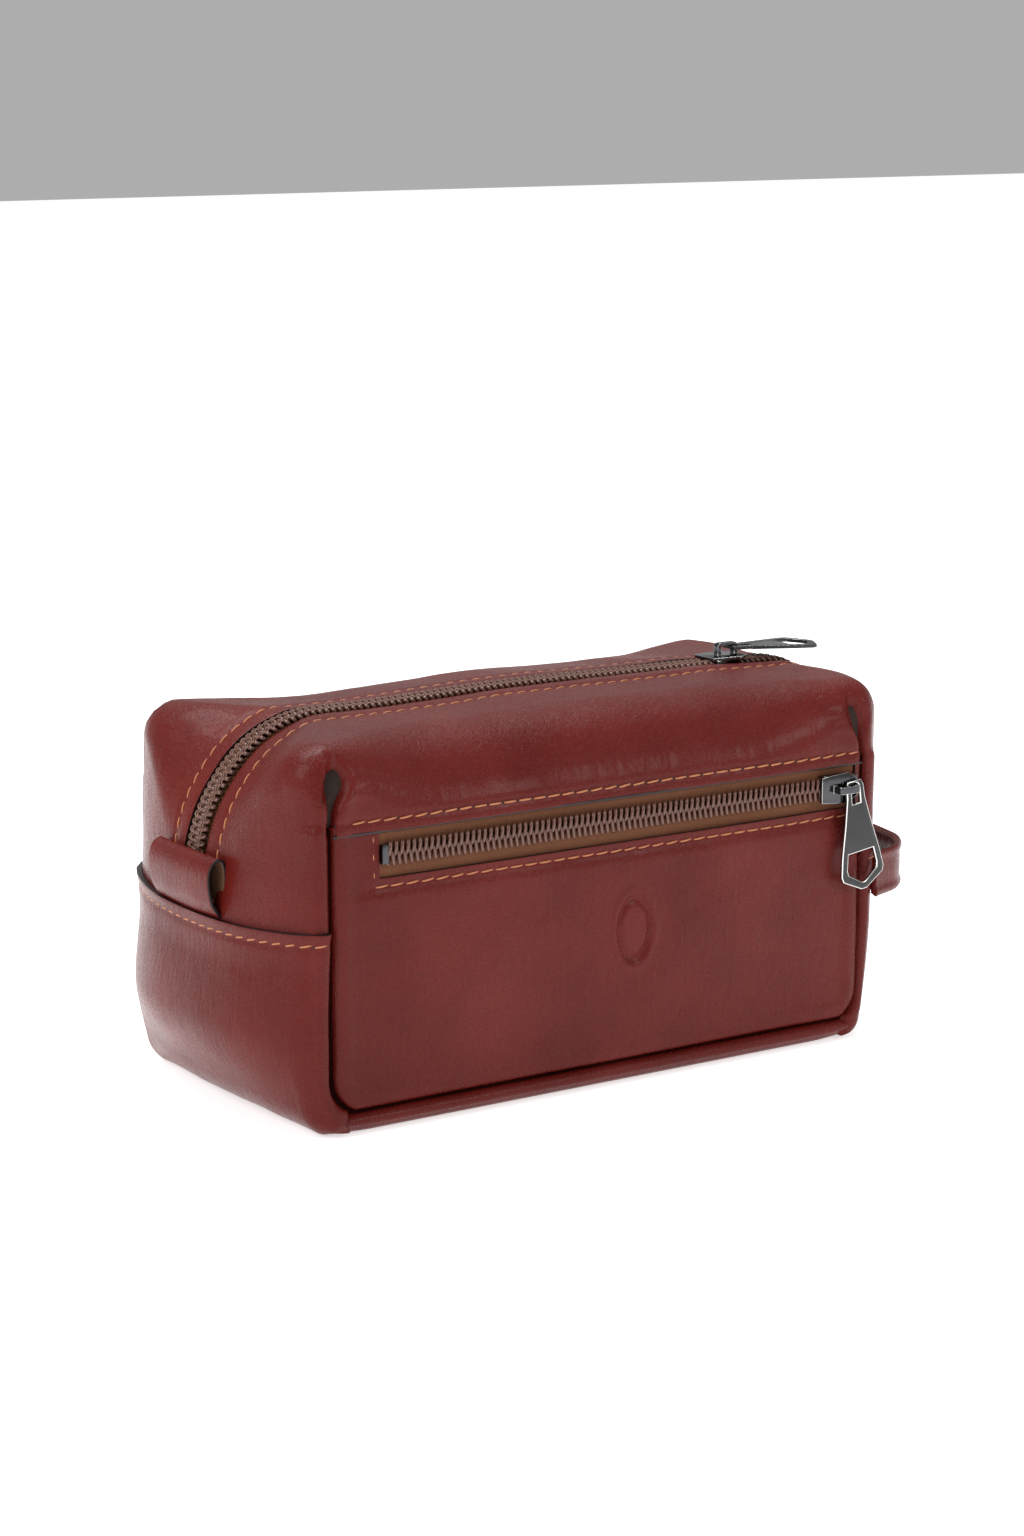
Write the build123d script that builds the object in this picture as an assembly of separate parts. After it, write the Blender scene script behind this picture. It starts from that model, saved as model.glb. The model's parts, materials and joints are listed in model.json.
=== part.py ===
from build123d import *
import math
import os

# A box-shaped leather shaving kit bag. +X runs to the right along the main zip, the front with the
# zip pocket faces -Y, +Z is up, and the origin is the centre of the base's underside. Millimetres.

# Outside of the leather body
HALF_SEAM = 110.0      # half length, at the four upright corner seams
HALF_LENGTH = 122.0    # half length at the middle of the bulged ends
HALF_DEPTH = 57.5
HEIGHT = 125.0
SHOULDER_R = 26.0      # long front and back edges of the top
LEFT_CORNER_R = 34.0   # the zip's bend at the left end
RIGHT_CORNER_R = 23.5  # the zip's bend at the right end
BASE_R = 11.0          # where the ends turn under to the base

# Thicknesses and gaps between layers
LEATHER = 1.6
CLOTH = 0.6
BOARD = 2.0
GAP = 0.1

# Heights where the panels meet
GUSSET_TOP = 64.0
TOPSTITCH_Z = 100.4
PANEL_BOTTOM = 4.2

# Main zip
SLIT_HALF = 7.5        # from the middle of the zip to the edge of the leather
COIL_HALF = 5.0
COIL_HEIGHT = 2.2
TAPE_REACH = 19.0      # the tape's outer edge, under the leather
TAPE_INNER = 3.0
LINING_EDGE = 8.5
ZIP_END_Z = 70.0
LIP_LEFT = -84.7       # the two lips of the mouth run from here
LIP_RIGHT = 95.0       # to here
LIP_SKEW = 6.5         # degrees, so that a lip clears the left end as it swings out
SLIDER_X = 87.0

# Front pocket and its zip
WINDOW_LEFT, WINDOW_RIGHT = -88.0, 101.5
WINDOW_LOW, WINDOW_HIGH = 81.5, 97.0
POCKET_ZIP_Z = 89.2
POCKET_COIL_HALF = 3.8
TAPE_SPLIT = 2.4       # from the zip's middle to the inner edge of each pocket tape
TAPE_UNDERLAP = 5.0    # the lower tape under the leather
POCKET_SLIDER_X = 92.5
POUCH_LEFT, POUCH_RIGHT = -94.0, 102.0
POUCH_LOW = 8.0
POUCH_BACK_Y = -47.9
LINING_FRONT_Y = -46.9
BOARD_HALF = 52.5      # half width of the base board and its lining

# Sliders and pulls
SLIDER_LENGTH = 15.0
PLATE = 1.2
RUN_GAP = 0.35         # slider to coil and tape
ARCH_HALF = 4.3        # half length of the arch that holds the pull
ARCH_SHIFT = 1.8       # from the slider's middle to the arch's, towards the nose
ARCH_HEIGHT = 4.2
ARCH_WIDTH = 2.4
ARCH_BAR = 1.0
POST = 1.5
PULL_LENGTH = 38.6     # of which PULL_HEAD lies beyond the eye
PULL_HEAD = 2.6
PULL_THICK = 1.2
PULL_NECK = 3.9        # half width below the eye
PULL_HALF = 9.2        # half width near the pointed end
PULL_SWING = 8.0       # degrees, how far the pocket pull leans to the right
PULL_TILT = 2.5        # degrees, the main pull's slope as it points past the right end

# Trim
PIPING_R = 1.5
PIPING_IN = 0.8        # from the corner of the body to the middle of the piping
TAB_WIDTH = 39.0
TAB_LOW, TAB_TOP = 68.5, 86.0
TAB_PROUD = 7.4
HANDLE_LOW, HANDLE_HIGH = 48.5, 64.5
HANDLE_THICK = 2.6
HANDLE_REACH = 143.0   # outermost x of the handle's middle line
FAR = 400.0

os.makedirs("parts", exist_ok=True)


def save(name, shape):
    shape.label = name
    export_step(shape, f"parts/{name}.step")


def block(x, y, z):
    """A box between two limits on each axis."""
    sizes = [high - low for low, high in (x, y, z)]
    middle = [(high + low) / 2 for low, high in (x, y, z)]
    return Pos(*middle) * Box(*sizes)


def mirrored(shape):
    return mirror(shape, about=Plane.XZ)


def joined(shapes):
    """Separate solids that belong to one piece."""
    return Compound(children=list(shapes))


# ---- The body's outer surface, moved inwards by an offset

def plan_face(inset):
    """The outline from above: straight front and back, ends that bulge."""
    seam, middle, depth = HALF_SEAM - inset, HALF_LENGTH - inset, HALF_DEPTH - inset
    with BuildSketch() as sketch:
        with BuildLine():
            Line((-seam, -depth), (seam, -depth))
            ThreePointArc((seam, -depth), (middle, 0), (seam, depth))
            Line((seam, depth), (-seam, depth))
            ThreePointArc((-seam, depth), (-middle, 0), (-seam, -depth))
        make_face()
    return sketch.sketch


def section_face(inset):
    """The outline from the end: square below, round shoulders above."""
    depth, top, radius = HALF_DEPTH - inset, HEIGHT - inset, SHOULDER_R - inset
    with BuildSketch(Plane.YZ) as sketch:
        with BuildLine():
            Line((-depth, 0), (depth, 0))
            Line((depth, 0), (depth, top - radius))
            RadiusArc((depth, top - radius), (depth - radius, top), -radius)
            Line((depth - radius, top), (radius - depth, top))
            RadiusArc((radius - depth, top), (-depth, top - radius), -radius)
            Line((-depth, top - radius), (-depth, 0))
        make_face()
    return sketch.sketch


def side_face(inset):
    """The outline from the front, with the two bends of the main zip and the ends turned under."""
    end, top = HALF_LENGTH - inset, HEIGHT - inset
    left, right, base = LEFT_CORNER_R - inset, RIGHT_CORNER_R - inset, BASE_R - inset
    with BuildSketch(Plane.XZ) as sketch:
        with BuildLine():
            Line((base - end, inset), (end - base, inset))
            RadiusArc((end - base, inset), (end, BASE_R), -base)
            Line((end, BASE_R), (end, top - right))
            RadiusArc((end, top - right), (end - right, top), -right)
            Line((end - right, top), (left - end, top))
            RadiusArc((left - end, top), (-end, top - left), -left)
            Line((-end, top - left), (-end, BASE_R))
            RadiusArc((-end, BASE_R), (base - end, inset), -base)
        make_face()
    return sketch.sketch


def form(inset):
    """The whole body's volume inside the given offset."""
    upright = extrude(plan_face(inset), HEIGHT)
    long_way = extrude(section_face(inset), HALF_LENGTH + 5, both=True)
    across = extrude(side_face(inset), HALF_DEPTH + 5, both=True)
    return upright & long_way & across


def layer(outer, thickness):
    """A sheet that follows the body, outer being its depth under the leather's surface."""
    return form(outer) - form(outer + thickness)


LEATHER_SHELL = layer(0, LEATHER)
TAPE_SHELL = layer(LEATHER + GAP, CLOTH)
COIL_SHELL = layer(LEATHER - COIL_HEIGHT, COIL_HEIGHT)
LINING_INSET = 3.4
LINING_SHELL = layer(LINING_INSET, CLOTH)

ANY_Y = (-FAR, FAR)
INNER_X = HALF_SEAM - 2.2
LEFT_OF_LIP = block((-FAR, LIP_LEFT - 0.6), ANY_Y, (0, FAR))
RIGHT_OF_LIP = block((LIP_RIGHT + 0.6, FAR), ANY_Y, (0, FAR))


def lip_region(low_z):
    """Where the front lip of the mouth is, cut on a skew at its left."""
    whole = block((LIP_LEFT, LIP_RIGHT), (-FAR, 0), (low_z, FAR))
    skew_cut = Pos(LIP_LEFT, 0, 0) * Rot(0, 0, LIP_SKEW) * block((-FAR, 0), (-FAR, FAR), (0, FAR))
    return whole - skew_cut


# ---- Base, panels and piping

def piping_wire(side):
    """The line of the piping round one long panel: up both corners and along the bottom."""
    x, y, low = HALF_SEAM - PIPING_IN, side * (HALF_DEPTH - PIPING_IN), PIPING_R + GAP
    return FilletPolyline((-x, y, TOPSTITCH_Z), (-x, y, low), (x, y, low), (x, y, TOPSTITCH_Z), radius=9)


def piping(side, radius):
    wire = piping_wire(side)
    start = Plane(origin=wire @ 0, z_dir=wire % 0)
    return sweep(start * Circle(radius), path=wire)


front_piping = piping(-1, PIPING_R)
back_piping = piping(1, PIPING_R)
PIPING_CHANNELS = piping(-1, PIPING_R + 0.05) + piping(1, PIPING_R + 0.05)

bottom_half = HALF_DEPTH - PIPING_IN - PIPING_R - GAP
bottom_panel = block((-INNER_X, INNER_X), (-bottom_half, bottom_half), (0, LEATHER)) - PIPING_CHANNELS
board_low = LEATHER + GAP
board = Pos(0, 0, board_low) * extrude(plan_face(LEATHER + 2), BOARD)
base_stiffener = board & form(board_low) & block(ANY_Y, (-BOARD_HALF, BOARD_HALF), (0, FAR))
base_stiffener -= PIPING_CHANNELS
lining_low = board_low + BOARD + GAP
lining_bottom = Pos(0, 0, lining_low) * extrude(plan_face(LINING_INSET), CLOTH)
lining_bottom &= form(LINING_INSET) & block(ANY_Y, (LINING_FRONT_Y, BOARD_HALF), (0, FAR))
wall_low = lining_low + CLOTH + GAP


def long_panel(side):
    y = sorted((side * HALF_DEPTH, side * (HALF_DEPTH - LEATHER)))
    panel = block((-INNER_X, INNER_X), y, (PANEL_BOTTOM, TOPSTITCH_Z - 0.2))
    return panel - PIPING_CHANNELS


window = block((WINDOW_LEFT, WINDOW_RIGHT), (-FAR, 0), (WINDOW_LOW, WINDOW_HIGH))
front_panel = long_panel(-1) - window
back_panel = long_panel(1)


def end_gusset(side):
    outer = sorted((side * (INNER_X + GAP), side * FAR))
    wall = LEATHER_SHELL & block(outer, ANY_Y, (0.3, GUSSET_TOP))
    return wall - PIPING_CHANNELS


# ---- Top panels: the swinging lips, and the ends that stay put

top_front_panel = LEATHER_SHELL & lip_region(TOPSTITCH_Z) & block(ANY_Y, (-FAR, -SLIT_HALF), (0, FAR))
top_front_lining = LINING_SHELL & lip_region(TOPSTITCH_Z) & block(ANY_Y, (-FAR, -LINING_EDGE), (0, FAR))


def upper_end(end_region):
    """The front top panel's stretch over one end, from the shoulder down to the gusset."""
    piece = LEATHER_SHELL & end_region & block(ANY_Y, (-FAR, -SLIT_HALF), (GUSSET_TOP + 0.3, FAR))
    long_wall = block((-INNER_X - GAP, INNER_X + GAP), (-FAR, FAR), (0, TOPSTITCH_Z))
    return piece - long_wall - PIPING_CHANNELS


def end_lining(end_region):
    sheet = LINING_SHELL & end_region & block(ANY_Y, (LINING_FRONT_Y, FAR), (wall_low, TOPSTITCH_Z))
    return sheet - block(ANY_Y, (HALF_DEPTH - LINING_INSET - CLOTH - GAP, FAR), (0, FAR))


lining_front = block((-INNER_X + 1.5, INNER_X - 1.5), (LINING_FRONT_Y - CLOTH, LINING_FRONT_Y - GAP / 2),
                     (wall_low, TOPSTITCH_Z - 1))
lining_back = block((-INNER_X + 1.5, INNER_X - 1.5),
                    (HALF_DEPTH - LINING_INSET - CLOTH, HALF_DEPTH - LINING_INSET),
                    (wall_low, TOPSTITCH_Z - 1))


# ---- Main zip

def zip_strip(shell, inner, outer):
    """The front half of a strip along the main zip."""
    return shell & block(ANY_Y, (-outer, -inner), (ZIP_END_Z, FAR))


tape_strip = zip_strip(TAPE_SHELL, TAPE_INNER, TAPE_REACH)
coil_strip = zip_strip(COIL_SHELL, 0.15, COIL_HALF)
main_tape_front = tape_strip & lip_region(0)
# The slider's wedge takes the place of the meshed coils at its nose.
nose_low, nose_high = SLIDER_X + 1.2, SLIDER_X + SLIDER_LENGTH / 2 + 0.4
coil_break = block((nose_low, nose_high), ANY_Y, (0, FAR))
main_coil_front = (coil_strip & lip_region(0)) - coil_break


def end_stop(side):
    """A metal clip across the end of the coils, at the foot of the zip."""
    x = sorted((side * (HALF_LENGTH - LEATHER), side * (HALF_LENGTH + 0.6)))
    return block(x, (-COIL_HALF + 1, COIL_HALF - 1), (ZIP_END_Z - 4, ZIP_END_Z - GAP))


# ---- Pocket: zip and pouch

TAPE_FRONT_Y = -HALF_DEPTH + LEATHER + 0.2
zip_x = (WINDOW_LEFT - 6, WINDOW_RIGHT + 6)
tape_y = (TAPE_FRONT_Y, TAPE_FRONT_Y + CLOTH)
pocket_tape_upper = block(zip_x, tape_y, (POCKET_ZIP_Z + TAPE_SPLIT, TOPSTITCH_Z - 0.4))
pocket_tape_lower = block(zip_x, tape_y, (WINDOW_LOW - TAPE_UNDERLAP, POCKET_ZIP_Z - TAPE_SPLIT))
coil_y = (TAPE_FRONT_Y - COIL_HEIGHT, TAPE_FRONT_Y - 0.05)
coil_left = WINDOW_LEFT + 2.5
pocket_coil_upper = block((coil_left, POCKET_SLIDER_X + 1.0), coil_y,
                          (POCKET_ZIP_Z + 0.15, POCKET_ZIP_Z + POCKET_COIL_HALF))
pocket_coil_lower = block((coil_left, POCKET_SLIDER_X + 1.0), coil_y,
                          (POCKET_ZIP_Z - POCKET_COIL_HALF, POCKET_ZIP_Z - 0.15))
pocket_bottom_stop = block((WINDOW_LEFT + 0.3, coil_left - GAP), coil_y, (POCKET_ZIP_Z - 3, POCKET_ZIP_Z + 3))
stop_x = (POCKET_SLIDER_X + SLIDER_LENGTH / 2 + 0.3, WINDOW_RIGHT - 0.1)
pocket_top_stops = joined(
    block(stop_x, coil_y, (POCKET_ZIP_Z + low, POCKET_ZIP_Z + high)) for low, high in ((-3.8, -1), (1, 3.8)))
pouch_front_y = TAPE_FRONT_Y
pocket_pouch_front = block((POUCH_LEFT, POUCH_RIGHT), (pouch_front_y, pouch_front_y + CLOTH / 2),
                           (POUCH_LOW, WINDOW_LOW - TAPE_UNDERLAP - GAP))
pouch_outer = block((POUCH_LEFT, POUCH_RIGHT), (pouch_front_y + CLOTH + GAP, POUCH_BACK_Y),
                    (POUCH_LOW, TOPSTITCH_Z - 1))
pouch_inner = block((POUCH_LEFT + CLOTH, POUCH_RIGHT - CLOTH), (-FAR, POUCH_BACK_Y - CLOTH),
                    (POUCH_LOW + CLOTH, FAR))
pocket_pouch_back = pouch_outer - pouch_inner


# ---- Sliders and pulls, made lying flat: chain along X, face up

def slider(chain_half, tape_depth):
    """A cast zip slider. z=0 is the top of the coils, tape_depth is the tape's underside below it."""
    half = SLIDER_LENGTH / 2
    width = chain_half + 1.5
    floor = -tape_depth - RUN_GAP
    with BuildSketch() as plate:
        with BuildLine():
            Polyline((-half, -width + 1), (-half, width - 1), (-half + 3, width - 0.6), (half - 4, width),
                     (half, width - 2.2), (half, 2.2 - width), (half - 4, -width), (-half + 3, 0.6 - width),
                     (-half, -width + 1))
        make_face()
    top = Pos(0, 0, RUN_GAP) * extrude(plate.sketch, PLATE)
    base = Pos(0, 0, floor - PLATE) * extrude(plate.sketch, PLATE)
    flange_low = -COIL_HEIGHT + 0.45
    side = block((-half + 1.5, half - 4), (chain_half + 0.4, width - 0.6), (flange_low, RUN_GAP + 0.2))
    wedge = block((1.8, half - 0.8), (-1.3, 1.3), (floor - 0.2, RUN_GAP + 0.2))
    arch_top = RUN_GAP + PLATE + ARCH_HEIGHT
    arch = block((-ARCH_HALF, ARCH_HALF), (-ARCH_WIDTH / 2, ARCH_WIDTH / 2),
                 (RUN_GAP + PLATE - 0.2, arch_top))
    eye = block((POST - ARCH_HALF, ARCH_HALF - POST), (-5, 5), (RUN_GAP + PLATE, arch_top - ARCH_BAR))
    arch = fillet(arch.edges().filter_by(Axis.Y).group_by(Axis.Z)[-1], 1.4)
    return top + base + side + mirrored(side) + wedge + Pos(ARCH_SHIFT, 0, 0) * (arch - eye)


FLAT_PULL_Z = RUN_GAP + PLATE + 1.2   # the pocket pull lies flat, low in the arch's eye
BAR_Z = RUN_GAP + PLATE + 2.3         # the main pull's crossbar rides high in it
BAR_R = 0.7


def pull_outline():
    """The pull's plate in XY, its eye at the origin and its pointed end towards -Y."""
    tip = PULL_HEAD - PULL_LENGTH
    with BuildSketch() as sketch:
        with BuildLine():
            Polyline((0, PULL_HEAD), (2.8, PULL_HEAD), (3.6, 0.8), (PULL_NECK, -4.0), (5.6, -12.5),
                     (8.2, -23.5), (PULL_HALF, tip + 6.2), (PULL_HALF - 0.6, tip + 4.2), (1.2, tip), (0, tip))
            mirror(about=Plane.YZ)
        make_face()
        with BuildLine():
            Polyline((0, tip + 2.6), (0.8, tip + 2.6), (PULL_HALF - 3.2, tip + 6.2),
                     (PULL_HALF - 2.9, tip + 8.2), (PULL_HALF - 3.8, tip + 13.4), (0, tip + 13.4))
            mirror(about=Plane.YZ)
        make_face(mode=Mode.SUBTRACT)
    return sketch.sketch


def swinging_pull():
    """The pocket pull, hung on the arch's post and lying flat against the slider."""
    plate = extrude(pull_outline(), PULL_THICK / 2, both=True)
    hole = extrude(Circle(1.75), 5, both=True) + block((-1.75, 1.75), (-5.5, 0), (-5, 5))
    return plate - hole


def flipping_pull():
    """The main pull, whose round crossbar lies in the arch's eye. It points towards -Y from the bar."""
    plate = extrude(pull_outline(), PULL_THICK / 2, both=True)
    plate -= block((-FAR, FAR), (-6.5, FAR), (-5, 5))
    arms = block((-3.6, -1.9), (-9, 0), (-PULL_THICK / 2, PULL_THICK / 2))
    bar = Rot(0, 90, 0) * Cylinder(BAR_R, 7.2)
    slot = block((-1.9, 1.9), (-8.6, -0.9), (-5, 5))
    return plate + arms + mirror(arms, about=Plane.YZ) + bar - slot


pocket_frame = Plane(origin=(POCKET_SLIDER_X, TAPE_FRONT_Y - COIL_HEIGHT, POCKET_ZIP_Z),
                     x_dir=(1, 0, 0), z_dir=(0, -1, 0))
pocket_slider = pocket_frame * slider(POCKET_COIL_HALF, COIL_HEIGHT + CLOTH)
pull_place = pocket_frame * Pos(ARCH_SHIFT + ARCH_HALF - POST / 2, 0, FLAT_PULL_Z) * Rot(0, 0, PULL_SWING)
pocket_pull = pull_place * swinging_pull()

main_top_z = HEIGHT - LEATHER + COIL_HEIGHT
main_frame = Plane(origin=(SLIDER_X, 0, main_top_z), x_dir=(1, 0, 0), z_dir=(0, 0, 1))
main_slider = main_frame * slider(COIL_HALF, COIL_HEIGHT + GAP + CLOTH)
bar_x = ARCH_SHIFT + ARCH_HALF - POST - BAR_R - 0.2
main_pull_place = main_frame * Pos(bar_x, 0, BAR_Z) * Rot(0, PULL_TILT, 0) * Rot(0, 0, 90)
main_pull = main_pull_place * flipping_pull()


# ---- Zip tab and side handle

def zip_tab():
    """A short strap folded over at its top, standing off the left end like a flattened loop."""
    wall = -HALF_LENGTH
    with BuildSketch(Plane.XZ) as sketch:
        with BuildLine():
            Spline((wall, TAB_LOW), (wall - 0.2, TAB_TOP - 4), (wall - 2.8, TAB_TOP),
                   (wall - TAB_PROUD, TAB_TOP - 6.5), (wall - 1.6, TAB_LOW))
            Line((wall - 1.6, TAB_LOW), (wall, TAB_LOW))
        make_face()
    solid = extrude(sketch.sketch, TAB_WIDTH / 2, both=True)
    with BuildSketch(Plane.XZ) as hollow:
        with Locations((wall - 3.6, TAB_TOP - 6.9)):
            Ellipse(2.2, 5.2)
    return solid - extrude(hollow.sketch, TAB_WIDTH, both=True) - form(-0.7)


def side_handle():
    """A strap whose ends are caught in the two corner seams of the right end, bowed out between them."""
    front = [(HALF_SEAM + 1.5, 0.9 - HALF_DEPTH), (HALF_SEAM + 15, -52), (HANDLE_REACH - 6.5, -40.5)]
    back = [(x, -y) for x, y in reversed(front)]
    with BuildLine() as line:
        FilletPolyline(*front, (HANDLE_REACH, 0), *back, radius=[10, 16, 90, 16, 10])
    with BuildSketch() as ribbon:
        trace(line.line, line_width=HANDLE_THICK)
    strap = Pos(0, 0, HANDLE_LOW) * extrude(ribbon.sketch, HANDLE_HIGH - HANDLE_LOW)
    return strap - form(-0.05) - PIPING_CHANNELS


pieces = {
    "bottom_panel": bottom_panel,
    "base_stiffener": base_stiffener,
    "front_panel": front_panel,
    "back_panel": back_panel,
    "end_gusset_left": end_gusset(-1),
    "end_gusset_right": end_gusset(1),
    "front_piping": front_piping,
    "back_piping": back_piping,
    "top_front_panel": top_front_panel,
    "top_front_lining": top_front_lining,
    "front_upper_end_left": upper_end(LEFT_OF_LIP),
    "front_upper_end_right": upper_end(RIGHT_OF_LIP),
    "lining_bottom": lining_bottom,
    "lining_front": lining_front,
    "lining_back": lining_back,
    "lining_left": end_lining(block((-FAR, -INNER_X + 1.4), ANY_Y, (0, FAR))),
    "lining_right": end_lining(block((INNER_X - 1.4, FAR), ANY_Y, (0, FAR))),
    "main_tape_front": main_tape_front,
    "main_coil_front": main_coil_front,
    "main_tape_front_left": tape_strip & LEFT_OF_LIP,
    "main_tape_front_right": tape_strip & RIGHT_OF_LIP,
    "main_coil_front_left": coil_strip & LEFT_OF_LIP,
    "main_coil_front_right": coil_strip & RIGHT_OF_LIP,
    "main_stop_left": end_stop(-1),
    "main_stop_right": end_stop(1),
    "main_slider": main_slider,
    "main_pull": main_pull,
    "pocket_tape_upper": pocket_tape_upper,
    "pocket_tape_lower": pocket_tape_lower,
    "pocket_coil_upper": pocket_coil_upper,
    "pocket_coil_lower": pocket_coil_lower,
    "pocket_bottom_stop": pocket_bottom_stop,
    "pocket_top_stops": pocket_top_stops,
    "pocket_slider": pocket_slider,
    "pocket_pull": pocket_pull,
    "pocket_pouch_front": pocket_pouch_front,
    "pocket_pouch_back": pocket_pouch_back,
    "zip_tab_left": zip_tab(),
    "side_handle": side_handle(),
}
# The back half of the top repeats the front half, mirrored.
BACK_TWINS = [name for name in pieces if name in ("top_front_panel", "top_front_lining")
              or name.startswith(("front_upper_end", "main_tape_front", "main_coil_front"))]
for name in BACK_TWINS:
    pieces[name.replace("front", "back")] = mirrored(pieces[name])

for name, shape in pieces.items():
    save(name, shape)
print(len(pieces), "pieces")
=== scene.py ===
import json
import math

import bmesh
import bpy
import numpy as np
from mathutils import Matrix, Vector

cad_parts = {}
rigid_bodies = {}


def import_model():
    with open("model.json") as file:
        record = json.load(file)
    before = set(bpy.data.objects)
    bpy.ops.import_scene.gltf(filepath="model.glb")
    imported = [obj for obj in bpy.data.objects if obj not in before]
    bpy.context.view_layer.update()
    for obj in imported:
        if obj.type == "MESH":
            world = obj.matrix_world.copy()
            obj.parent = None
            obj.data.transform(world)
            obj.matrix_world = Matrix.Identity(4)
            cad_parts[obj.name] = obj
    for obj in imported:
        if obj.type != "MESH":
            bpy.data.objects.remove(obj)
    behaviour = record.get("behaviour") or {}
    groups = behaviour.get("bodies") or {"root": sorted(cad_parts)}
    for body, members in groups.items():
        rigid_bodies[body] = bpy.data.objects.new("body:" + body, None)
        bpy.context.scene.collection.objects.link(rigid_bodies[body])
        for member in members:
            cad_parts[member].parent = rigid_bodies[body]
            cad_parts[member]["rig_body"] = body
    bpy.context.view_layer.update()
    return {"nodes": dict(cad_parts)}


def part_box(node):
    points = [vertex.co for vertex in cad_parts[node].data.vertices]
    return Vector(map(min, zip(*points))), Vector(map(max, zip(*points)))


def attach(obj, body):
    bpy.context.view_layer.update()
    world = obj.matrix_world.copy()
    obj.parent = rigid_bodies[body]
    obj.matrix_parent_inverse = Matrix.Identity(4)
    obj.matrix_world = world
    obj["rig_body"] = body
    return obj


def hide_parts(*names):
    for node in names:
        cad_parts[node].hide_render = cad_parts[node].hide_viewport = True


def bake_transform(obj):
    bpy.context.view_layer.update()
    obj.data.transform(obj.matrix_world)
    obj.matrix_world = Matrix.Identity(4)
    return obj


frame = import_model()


# ---- Sizes, in millimetres, read from the frame

def limits(node):
    low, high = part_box(node)
    return np.array(low) * 1000, np.array(high) * 1000


HALF_SEAM = 110.0
HALF_LENGTH = -limits("end_gusset_left")[0][0]
HALF_DEPTH = limits("back_panel")[1][1]
HEIGHT = limits("top_front_panel")[1][2]
SLIT = -limits("top_front_panel")[1][1]
STITCH_Z = limits("top_front_panel")[0][2]
GUSSET_TOP = limits("end_gusset_left")[1][2]
COIL_Y0, COIL_Y1 = limits("pocket_coil_upper")[0][1], limits("pocket_coil_upper")[1][1]
POCKET_Z = (limits("pocket_coil_upper")[1][2] + limits("pocket_coil_lower")[0][2]) / 2
WINDOW_LEFT = limits("pocket_bottom_stop")[0][0] - 0.3
WINDOW_RIGHT = limits("pocket_top_stops")[1][0] + 0.1
WINDOW_LOW, WINDOW_HIGH = 81.5, 96.9
TOP_EDGE_Z = 96.6        # lower edge of the top front panel, which covers the front panel's
SHOULDER_R, LEFT_R, RIGHT_R, CORNER_R = 27.0, 44.0, 21.0, 13.0
UPRIGHT_R, BASE_R = 6.5, 11.0
GROOVE_X = 105.5         # the upright seams, a little way round on to the front and back
GROOVE_LOW, GROOVE_TURN = 6.8, 12.0   # the seam's height along the base, and its radius at the corners
BASE_JOINT_X = 98.0      # where the end pieces overlap the base
LEATHER = 1.5
ZIP_STITCH_INSET = 6.2   # from the edge of the zip slit to its stitch row
GUSSET_ROUND = (2.8, 1.0, 0.9, 4.5)    # the seam roll of the leather that wraps round the corners
PANEL_ROUND = (2.6, 0.9, 0.6, 4.5)     # the seam roll of the long panels
LEATHER_SHEET = ["leather", "edge_paint", "leather_inside"]   # outer face, cut edge and inner face
RNG = np.random.RandomState(11)
LATTICE = RNG.rand(32, 32, 32)


# ---- Numbers and noise

def smooth(t):
    t = np.clip(t, 0, 1)
    return t * t * (3 - 2 * t)


def noise(p, scale):
    """Smooth random values from -1 to 1 over points p; scale is a bump's size, one number or one per axis."""
    q = np.asarray(p, float) / np.asarray(scale, float)
    cell = np.floor(q).astype(int)
    f = smooth(q - cell)
    total = 0
    for corner in range(8):
        bit = np.array([corner & 1, corner >> 1 & 1, corner >> 2 & 1])
        weight = np.prod(np.where(bit, f, 1 - f), axis=-1)
        i = (cell + bit) % 32
        total = total + weight * LATTICE[i[..., 0], i[..., 1], i[..., 2]]
    return 2 * total - 1


def bump(distance, width):
    return np.exp(-(distance / width) ** 2)


# ---- The bag's soft outer form: negative inside, in millimetres

def rounded(a, b, radius):
    outside = np.hypot(np.maximum(radius + a, 0), np.maximum(radius + b, 0))
    return np.minimum(-radius, np.maximum(a, b)) + outside


def form(p):
    x, y, z = p[..., 0], p[..., 1], p[..., 2]
    along, across = np.clip(x / HALF_SEAM, -1, 1), np.clip(y / HALF_DEPTH, -1, 1)
    rise = np.sin(np.pi * np.clip(z / 112, 0, 1))
    long_wall = np.abs(y) - (HALF_DEPTH - 1.2 + 2.0 * (1 - along ** 4) * rise)
    swell = 0.30 + 0.95 * smooth(z / 34) - 0.42 * smooth((z - 30) / 85)
    swell = np.where(x > 0, swell + 0.45 * smooth((z - 50) / 50), swell * 1.08)
    end_wall = np.abs(x) - (HALF_SEAM + (HALF_LENGTH - HALF_SEAM) * (1 - np.abs(across) ** 2.6) * swell)
    end_wall = end_wall + np.where(x > 0, 2.5, 0) * smooth((50 - z) / 45)
    end_wall = end_wall - np.where(x < 0, 3.5, 0) * bump(z - 28, 26)
    crown = 1.2 * np.cos(np.pi * across) - 0.8 * noise(np.stack([x, 0 * x, 0 * x], -1), 60)
    roof = z - (HEIGHT - 0.6 + crown * (1 - along ** 4))
    walls = rounded(long_wall, end_wall, UPRIGHT_R)
    end_share = smooth((end_wall - long_wall) / 40 + 0.5)
    shoulder = SHOULDER_R + (CORNER_R - SHOULDER_R) * smooth((np.abs(x) - 58) / 50)
    bend = np.where(x < 0, LEFT_R, RIGHT_R)
    bend = bend + (CORNER_R - bend) * smooth((np.abs(y) - 8) / 42)
    top_radius = shoulder + (bend - shoulder) * end_share
    return rounded(rounded(walls, roof, top_radius), -z, 4.0 + (BASE_R - 4.0) * end_share)


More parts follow.
